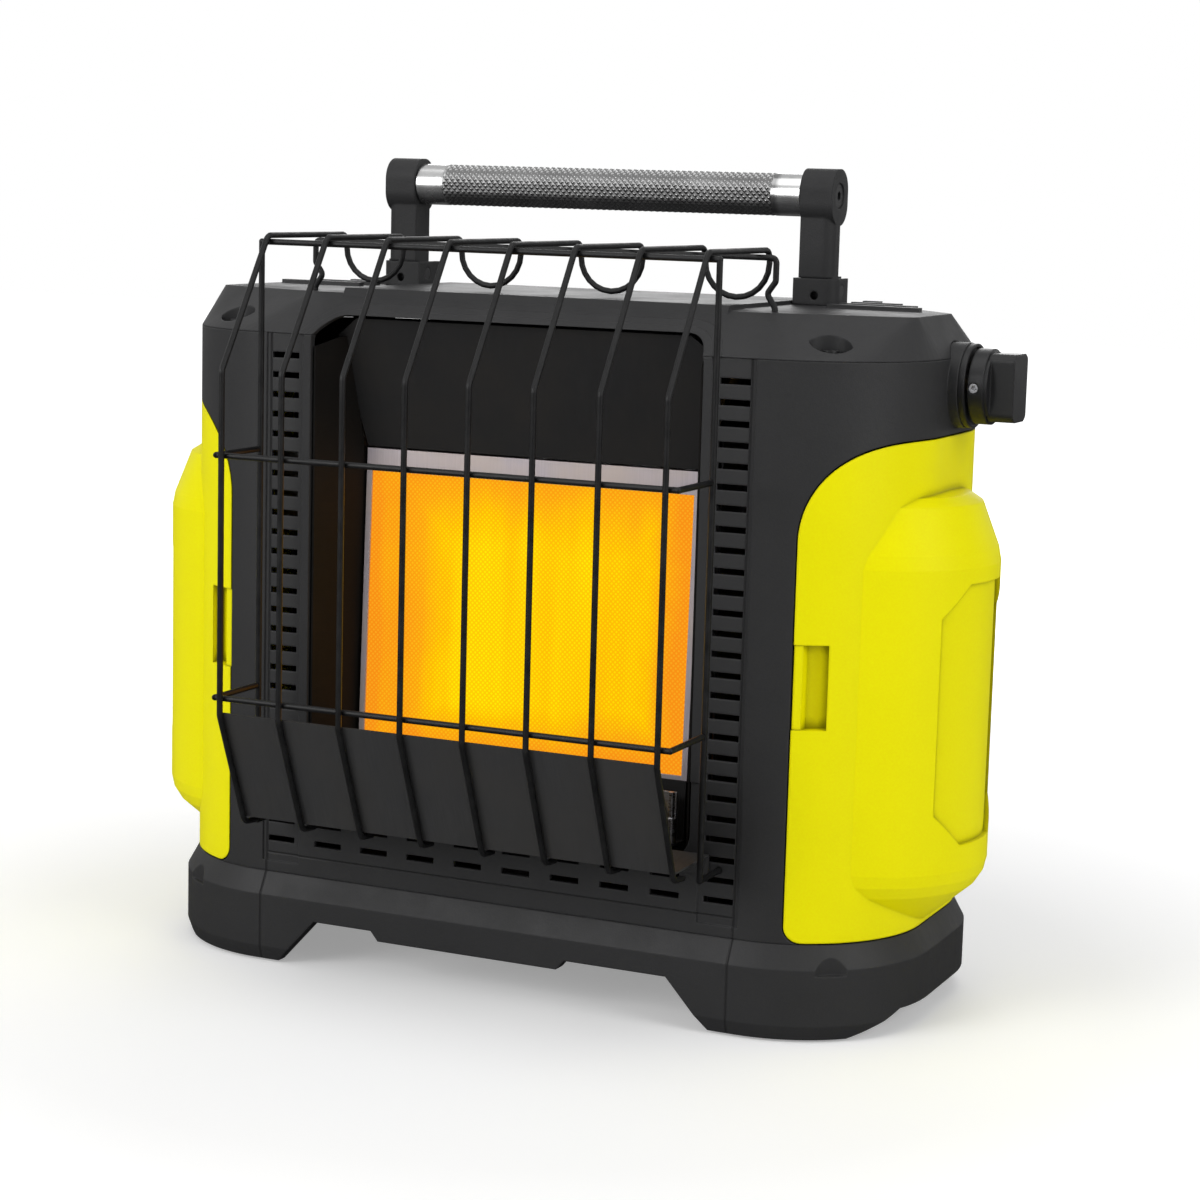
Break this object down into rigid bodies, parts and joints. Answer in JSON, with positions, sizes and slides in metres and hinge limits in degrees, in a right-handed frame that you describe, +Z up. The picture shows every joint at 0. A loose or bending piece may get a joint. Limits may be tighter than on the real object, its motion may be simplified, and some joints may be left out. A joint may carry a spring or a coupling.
{
  "type": "portable propane heater",
  "caption": "Portable radiant heater with a moulded casing, two hinged cylinder doors, a wire guard, a folding handle and a push-and-turn knob.",
  "frame": {"origin": "on the ground below the middle of the whole object's box", "axes": "+Z up, -Y out of the front (the side with the burner), +X towards the side with the knob"},
  "size_m": [0.4634, 0.2567, 0.4165],
  "materials": {
    "casing_plastic": "moulded black plastic with a fine matt grain",
    "door_plastic": "bright yellow moulded plastic, satin",
    "pin_steel": "plated steel",
    "sheet_steel": "bare sheet steel",
    "black_sheet": "sheet steel with black heat-proof paint",
    "heated_sheet": "dark sheet steel browned by heat",
    "burner_frame_steel": "stainless sheet, dull",
    "ceramic": "perforated ceramic, lit yellow and orange",
    "gasket_fibre": "woven ceramic fibre",
    "brass": "machined brass",
    "thermocouple_steel": "stainless sheath",
    "guard_wire": "steel wire with a dark baked coat",
    "spring_steel": "spring steel",
    "knob_plastic": "moulded black plastic, satin",
    "screw_steel": "plated steel",
    "igniter_plastic": "black moulded plastic",
    "lead_insulation": "silicone sleeve",
    "regulator_metal": "die-cast, dull",
    "seal_rubber": "black rubber",
    "handle_plastic": "grained dark plastic",
    "handle_chrome": "plated and knurled, smooth at both ends"
  },
  "bodies": {
    "casing": {"base": "casing_plastic", "front_cover": "casing_plastic", "rear_cover": "casing_plastic", "top_cover": "casing_plastic", "left_partition": "sheet_steel", "right_partition": "sheet_steel", "left_hinge_pins": "pin_steel", "right_hinge_pins": "pin_steel", "reflector_hood": "black_sheet", "left_reflector": "heated_sheet", "right_reflector": "heated_sheet", "lower_reflector": "black_sheet", "lower_deflector": "black_sheet", "burner_box": "sheet_steel", "burner_gasket": "gasket_fibre", "ceramic_plaque": "ceramic", "burner_clamp_frame": "burner_frame_steel", "venturi_tube": "sheet_steel", "gas_orifice": "brass", "pilot_bracket": "sheet_steel", "pilot_burner": "brass", "thermocouple": "thermocouple_steel", "spark_electrode": "ceramic", "guard_front_frame": "guard_wire", "guard_rear_frame": "guard_wire", "guard_bar_pair_1": "guard_wire", "guard_bar_pair_2": "guard_wire", "guard_bar_pair_3": "guard_wire", "guard_bar_pair_4": "guard_wire", "guard_upper_hoop": "guard_wire", "guard_lower_hoop": "guard_wire", "valve_body": "brass", "knob_spring": "spring_steel", "knob_bezel": "knob_plastic", "piezo_igniter": "igniter_plastic", "spark_lead": "lead_insulation", "left_regulator": "regulator_metal", "right_regulator": "regulator_metal", "left_regulator_bracket": "sheet_steel", "right_regulator_bracket": "sheet_steel", "socket_seals": "seal_rubber", "gas_manifold": "brass", "burner_gas_line": "brass", "tip_over_switch": "igniter_plastic", "left_handle_bracket": "handle_plastic", "right_handle_bracket": "handle_plastic", "handle_pivot_pins": "pin_steel", "housing_screws": "screw_steel", "bracket_screws": "screw_steel", "rubber_feet": "seal_rubber"},
    "handle": {"left_handle_post": "handle_plastic", "right_handle_post": "handle_plastic", "handle_bar": "handle_chrome", "handle_end_screws": "screw_steel"},
    "right_door": {"right_door": "door_plastic"},
    "left_door": {"left_door": "door_plastic"},
    "knob_push": {"push_collar": "spring_steel"},
    "knob": {"control_knob": "knob_plastic", "knob_screw": "screw_steel", "valve_stem": "brass"}
  },
  "joints": [
    {"name": "handle_fold", "type": "hinge", "parent": "casing", "child": "handle", "pos_m": [-0.00175, 0.0624, 0.3554], "axis": [-1, 0, 0], "range_deg": [0, 78]},
    {"name": "right_door_swing", "type": "hinge", "parent": "casing", "child": "right_door", "pos_m": [0.19779, 0.0794, 0.168], "axis": [0, 0, 1], "range_deg": [0, 95]},
    {"name": "left_door_swing", "type": "hinge", "parent": "casing", "child": "left_door", "pos_m": [-0.20129, 0.0794, 0.168], "axis": [0, 0, -1], "range_deg": [0, 95]},
    {"name": "knob_press", "type": "slide", "parent": "casing", "child": "knob_push", "axis": [-1, 0, 0], "range_m": [0, 0.0024], "stiffness_N_per_m": 2000, "deforming": ["knob_spring"]},
    {"name": "knob_turn", "type": "hinge", "parent": "knob_push", "child": "knob", "pos_m": [0.21825, 0.0354, 0.3135], "axis": [1, 0, 0], "range_deg": [0, 150]}
  ]
}
